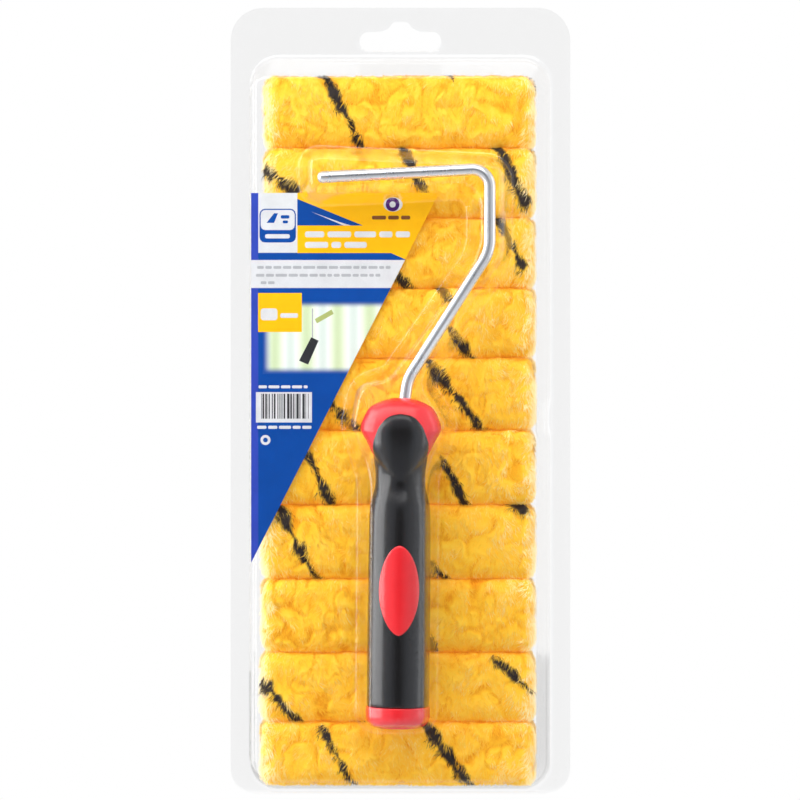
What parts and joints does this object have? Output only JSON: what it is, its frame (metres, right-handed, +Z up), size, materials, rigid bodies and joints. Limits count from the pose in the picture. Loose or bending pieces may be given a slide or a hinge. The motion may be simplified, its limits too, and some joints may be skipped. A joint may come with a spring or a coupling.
{
  "type": "paint roller set",
  "caption": "Mini paint roller frame with a bent wire arm and moulded handle, and refill sleeves with plush pile, in a clear hanging clamshell with an insert card.",
  "frame": {"origin": "centre of the hang slot, in the plane where the front cover meets the back shell", "axes": "+X to the right, +Y to the back of the pack, +Z up the pack"},
  "size_m": [0.146, 0.0656, 0.3381],
  "materials": {
    "clear_sheet": "clear thermoformed sheet, glossy",
    "printed_card": "printed board, satin",
    "chrome_wire": "bright plated",
    "red_plastic": "glossy moulded",
    "black_grip": "satin moulded",
    "yellow_pile": "plush pile with dark stripes",
    "tube_plastic": "moulded"
  },
  "bodies": {
    "back_half": {"back_shell": "clear_sheet"},
    "cover_half": {"front_cover": "clear_sheet", "insert_card": "printed_card"},
    "roller_frame": {"wire_rod": "chrome_wire", "handle_core": "red_plastic", "grip_overmold": "black_grip", "oval_inlay": "red_plastic", "end_cap": "red_plastic"},
    "refill_01": {"refill_01_pile": "yellow_pile", "refill_01_tube": "tube_plastic", "refill_01_bush": "tube_plastic", "refill_01_end_plug": "tube_plastic"},
    "refill_02": {"refill_02_pile": "yellow_pile", "refill_02_tube": "tube_plastic", "refill_02_bush": "tube_plastic", "refill_02_end_plug": "tube_plastic"},
    "refill_03": {"refill_03_pile": "yellow_pile", "refill_03_tube": "tube_plastic", "refill_03_bush": "tube_plastic", "refill_03_end_plug": "tube_plastic"},
    "refill_04": {"refill_04_pile": "yellow_pile", "refill_04_tube": "tube_plastic", "refill_04_bush": "tube_plastic", "refill_04_end_plug": "tube_plastic"},
    "refill_05": {"refill_05_pile": "yellow_pile", "refill_05_tube": "tube_plastic", "refill_05_bush": "tube_plastic", "refill_05_end_plug": "tube_plastic"},
    "refill_06": {"refill_06_pile": "yellow_pile", "refill_06_tube": "tube_plastic", "refill_06_bush": "tube_plastic", "refill_06_end_plug": "tube_plastic"},
    "refill_07": {"refill_07_pile": "yellow_pile", "refill_07_tube": "tube_plastic", "refill_07_bush": "tube_plastic", "refill_07_end_plug": "tube_plastic"},
    "refill_08": {"refill_08_pile": "yellow_pile", "refill_08_tube": "tube_plastic", "refill_08_bush": "tube_plastic", "refill_08_end_plug": "tube_plastic"},
    "refill_09": {"refill_09_pile": "yellow_pile", "refill_09_tube": "tube_plastic", "refill_09_bush": "tube_plastic", "refill_09_end_plug": "tube_plastic"},
    "refill_10": {"refill_10_pile": "yellow_pile", "refill_10_tube": "tube_plastic", "refill_10_bush": "tube_plastic", "refill_10_end_plug": "tube_plastic"}
  },
  "joints": [
    {"name": "cover_open", "type": "hinge", "parent": "back_half", "child": "cover_half", "pos_m": [0, 0, -0.3231], "axis": [1, 0, 0], "range_deg": [0, 170]},
    {"name": "frame_lift", "type": "slide", "parent": "cover_half", "child": "roller_frame", "axis": [0, 1, 0], "range_m": [0, 0.0705]},
    {"name": "refill_01_spin", "type": "hinge", "parent": "back_half", "child": "refill_01", "pos_m": [0, -0.0195, -0.0336], "axis": [1, 0, 0], "continuous": true},
    {"name": "refill_02_spin", "type": "hinge", "parent": "back_half", "child": "refill_02", "pos_m": [0, -0.0195, -0.0629], "axis": [1, 0, 0], "continuous": true},
    {"name": "refill_03_spin", "type": "hinge", "parent": "back_half", "child": "refill_03", "pos_m": [0, -0.0195, -0.0924], "axis": [1, 0, 0], "continuous": true},
    {"name": "refill_04_spin", "type": "hinge", "parent": "back_half", "child": "refill_04", "pos_m": [0, -0.0195, -0.1216], "axis": [1, 0, 0], "continuous": true},
    {"name": "refill_05_spin", "type": "hinge", "parent": "back_half", "child": "refill_05", "pos_m": [0, -0.0195, -0.1512], "axis": [1, 0, 0], "continuous": true},
    {"name": "refill_06_spin", "type": "hinge", "parent": "back_half", "child": "refill_06", "pos_m": [0, -0.0195, -0.1824], "axis": [1, 0, 0], "continuous": true},
    {"name": "refill_07_spin", "type": "hinge", "parent": "back_half", "child": "refill_07", "pos_m": [0, -0.0195, -0.2136], "axis": [1, 0, 0], "continuous": true},
    {"name": "refill_08_spin", "type": "hinge", "parent": "back_half", "child": "refill_08", "pos_m": [0, -0.0195, -0.2446], "axis": [1, 0, 0], "continuous": true},
    {"name": "refill_09_spin", "type": "hinge", "parent": "back_half", "child": "refill_09", "pos_m": [0, -0.0195, -0.2754], "axis": [1, 0, 0], "continuous": true},
    {"name": "refill_10_spin", "type": "hinge", "parent": "back_half", "child": "refill_10", "pos_m": [0, -0.0195, -0.3028], "axis": [1, 0, 0], "continuous": true}
  ],
  "couplings": [
    {"joint": "frame_lift", "follows": "cover_open", "m_per_rad": 0.0236}
  ]
}
